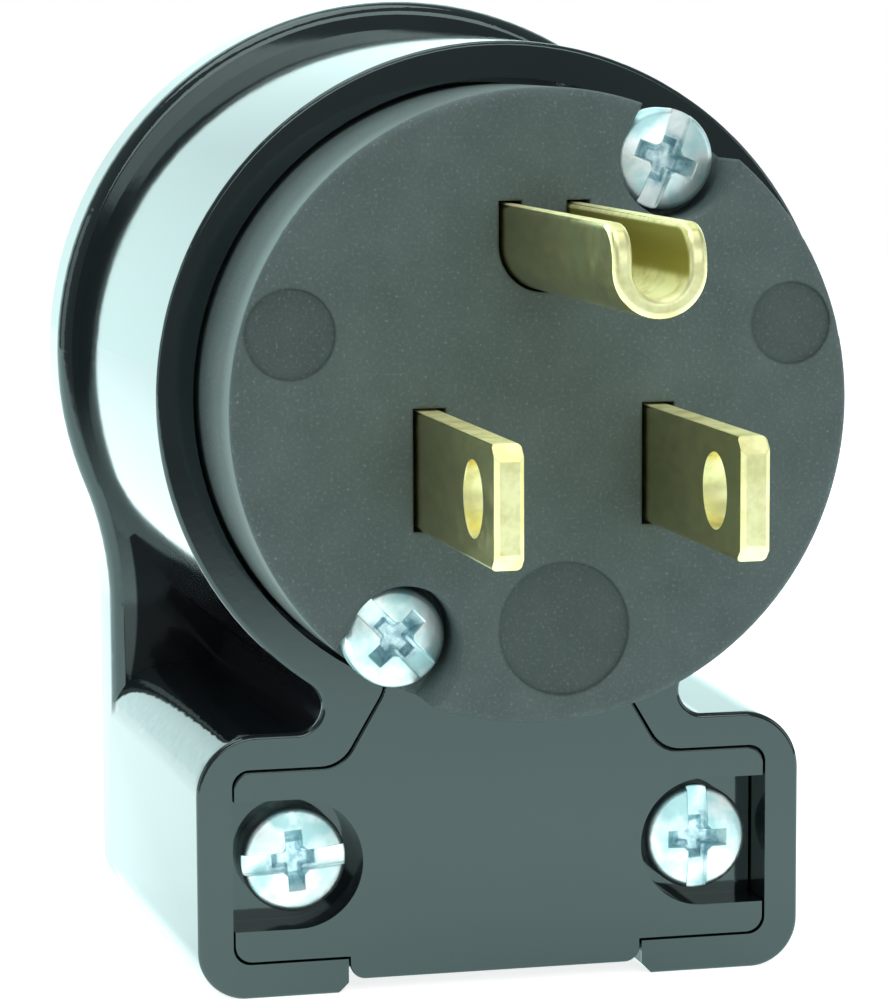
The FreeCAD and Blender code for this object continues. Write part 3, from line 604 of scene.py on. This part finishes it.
def true_normal(point, facing):
    """Normal of the drawn surface at a corner of a facet, or None where it is neither plane nor outside."""
    if abs(facing.y) > PLANE_COSINE:
        return Vector((0, math.copysign(1, facing.y), 0))
    x, y, z = point / MM
    if RIM_Y + RIM_EDGE - HAIR < y < FLANGE_Y + HAIR:
        around = cup_normal
    elif FLANGE_Y + FLANGE_EDGE - HAIR < y < BACK_Y - BACK_EDGE + HAIR:
        around = flange_normal
    else:
        return None
    normal = around(abs(x), y, z).normalized()
    normal.x = math.copysign(normal.x, x * normal.x)
    return normal if normal.dot(facing) > SAME_COSINE else None


def cup_gap(point):
    """Distance from a point out to the round cup, in millimetres."""
    x, y, z = point / MM
    return RIM_R + (y - RIM_Y) * CUP_SLOPE - math.hypot(x, z)


def cuts_cup(edge):
    """Whether both ends of an edge lie on the cup while its middle lies well inside."""
    for corner in edge.verts:
        depth = corner.co.y / MM
        if not RIM_Y + RIM_EDGE - HAIR < depth < FLANGE_Y + HAIR:
            return False
        if abs(cup_gap(corner.co)) > ON_CUP:
            return False
    return cup_gap((edge.verts[0].co + edge.verts[1].co) / 2) > CUP_SAG


def round_cup(piece):
    """Split the facets that cut across the round cup, and lay their new corners on it."""
    shape = bmesh.new()
    shape.from_mesh(piece.data)
    for _ in range(CUP_ROUNDS):
        chords = [edge for edge in shape.edges if cuts_cup(edge)]
        if not chords:
            break
        made = bmesh.ops.subdivide_edges(shape, edges=chords, cuts=1)
        for corner in made["geom_inner"]:
            if isinstance(corner, bmesh.types.BMVert):
                stretch = 1 + cup_gap(corner.co) * MM / math.hypot(corner.co.x, corner.co.z)
                corner.co.x *= stretch
                corner.co.z *= stretch
        bmesh.ops.triangulate(shape, faces=[face for face in shape.faces if len(face.verts) > 3])
    shape.to_mesh(piece.data)
    shape.free()


def even_normals(piece):
    """Give the facets of the housing the normals of the surface that they stand for."""
    mesh = piece.data
    normals = [corner.vector.copy() for corner in mesh.corner_normals]
    for face in mesh.polygons:
        for index in face.loop_indices:
            point = mesh.vertices[mesh.loops[index].vertex_index].co
            found = true_normal(point, face.normal)
            if found is not None:
                normals[index] = found
    mesh.normals_split_custom_set(normals)


def make_housing():
    """Copy of the CAD housing with joined faces, so that its gloss runs over them evenly."""
    node = NODES["rear_housing"]
    piece = node.copy()
    piece.data = node.data.copy()
    piece.name = "housing_moulding"
    bpy.context.scene.collection.objects.link(piece)
    bpy.ops.object.select_all(action="DESELECT")
    piece.select_set(True)
    bpy.context.view_layer.objects.active = piece
    bpy.ops.object.mode_set(mode="EDIT")
    bpy.ops.mesh.select_all(action="SELECT")
    bpy.ops.mesh.remove_doubles(threshold=JOIN_DISTANCE * MM)
    bpy.ops.mesh.customdata_custom_splitnormals_clear()
    bpy.ops.object.mode_set(mode="OBJECT")
    round_cup(piece)
    bpy.ops.object.shade_smooth_by_angle(angle=SMOOTH_ANGLE)
    even = piece.modifiers.new("even_gloss", "WEIGHTED_NORMAL")
    even.mode = "FACE_AREA"
    even.weight = AREA_WEIGHT
    even.keep_sharp = True
    bpy.ops.object.modifier_apply(modifier=even.name)
    even_normals(piece)
    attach(piece, "root")
    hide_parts("rear_housing")


def make_world():
    """White for the camera, toned walls in shiny faces, and plain light for matt ones."""
    world = bpy.data.worlds.new("studio")
    bpy.context.scene.world = world
    world.use_nodes = True
    tree = world.node_tree
    tree.nodes.clear()
    out = tree.nodes.new("ShaderNodeOutputWorld")
    path = tree.nodes.new("ShaderNodeLightPath")
    plain = add(tree, "ShaderNodeBackground", Color=(*SKY_COLOR, 1), Strength=SKY_LIGHT)
    white = add(tree, "ShaderNodeBackground", Color=(*BACKDROP, 1), Strength=1.0)
    room = add(tree, "ShaderNodeBackground", Strength=ROOM_GLOW)
    across, depth, _ = split_xyz(tree, coordinates(tree, "Generated"))
    before = ramp(tree, rise(tree, depth, -1, 1), ROOM_TONES)
    behind = ramp(tree, rise(tree, across, -1, 1), WALL_TONES)
    tone = blend(tree, rise(tree, depth, WALL_START, WALL_END), before, behind)
    tree.links.new(tone, room.inputs["Color"])
    shiny = calc(tree, "MAXIMUM", path.outputs["Is Glossy Ray"], path.outputs["Is Transmission Ray"])
    unseen = mix_shaders(tree, shiny, plain.outputs["Background"], room.outputs["Background"])
    whole = mix_shaders(tree, path.outputs["Is Camera Ray"], unseen, white.outputs["Background"])
    tree.links.new(whole, out.inputs["Surface"])


def floor_material():
    """Pale for the camera, toned in shiny faces and dark there towards its front edge."""
    material = bpy.data.materials.new("pale_floor")
    tree, out = node_tree(material)
    path = tree.nodes.new("ShaderNodeLightPath")
    shiny = path.outputs["Is Glossy Ray"]
    _, depth, _ = split_xyz(tree, coordinates(tree))
    sheen = ramp(tree, rise(tree, depth, FLOOR_FRONT * MM, -FLOOR_FRONT * MM), FLOOR_TONES)
    plain = product(tree, path.outputs["Is Camera Ray"], FLOOR_LIFT / FLOOR_GLOW)
    matt = add(tree, "ShaderNodeBsdfDiffuse", Color=(*FLOOR_COLOR, 1))
    lift = add(tree, "ShaderNodeEmission", Strength=FLOOR_GLOW)
    tree.links.new(blend(tree, shiny, plain, sheen), lift.inputs["Color"])
    both = tree.nodes.new("ShaderNodeAddShader")
    tree.links.new(matt.outputs["BSDF"], both.inputs[0])
    tree.links.new(lift.outputs["Emission"], both.inputs[1])
    near = fade(tree, depth, FLOOR_FADE_START * MM, FLOOR_FADE_END * MM)
    dim = product(tree, calc(tree, "SUBTRACT", 1.0, near), shiny)
    front_tone = ROOM_TONES[0][1]
    dark = add(tree, "ShaderNodeEmission", Color=(*front_tone, 1), Strength=ROOM_GLOW)
    whole = mix_shaders(tree, dim, both.outputs["Shader"], dark.outputs["Emission"])
    tree.links.new(whole, out.inputs["Surface"])
    return material


def make_floor():
    bpy.ops.mesh.primitive_plane_add(size=1, location=(0, (FLOOR_FRONT + FLOOR_BACK) / 2 * MM, FLOOR_Z * MM))
    floor = bpy.context.object
    floor.name = "studio_floor"
    floor.scale = (2 * FLOOR_HALF * MM, (FLOOR_BACK - FLOOR_FRONT) * MM, 1)
    bpy.ops.object.transform_apply(location=True, rotation=False, scale=True)
    floor.data.materials.append(floor_material())


def make_lamp(name, at, width, height, radiance):
    """Soft rectangular lamp that the camera doesn't see."""
    data = bpy.data.lights.new(name, "AREA")
    data.shape = "RECTANGLE"
    data.size = width * MM
    data.size_y = height * MM
    data.energy = radiance * math.pi * data.size * data.size_y
    data.color = LAMP_COLOR
    lamp = bpy.data.objects.new(name, data)
    bpy.context.scene.collection.objects.link(lamp)
    lamp.location = Vector(at) * MM
    lamp.rotation_euler = (-Vector(at)).to_track_quat("-Z", "Y").to_euler()
    lamp.visible_camera = False


def make_camera():
    data = bpy.data.cameras.new("photo_camera")
    data.lens = CAMERA_LENS
    data.sensor_width = CAMERA_SENSOR
    data.sensor_fit = "AUTO"
    data.clip_start = CAMERA_NEAR * MM
    camera = bpy.data.objects.new("photo_camera", data)
    bpy.context.scene.collection.objects.link(camera)
    right = Vector(CAMERA_RIGHT)
    up = -Vector(CAMERA_DOWN)
    back = -Vector(CAMERA_FORWARD)
    turn = Matrix((right, up, back)).transposed().to_4x4()
    camera.matrix_world = Matrix.Translation(Vector(CAMERA_AT) * MM) @ turn
    bpy.context.scene.camera = camera


dress_nodes()
make_housing()
make_world()
make_floor()
for lamp_values in LAMPS:
    make_lamp(*lamp_values)
make_camera()
bpy.context.scene.view_settings.view_transform = "Standard"

bpy.context.view_layer.update()
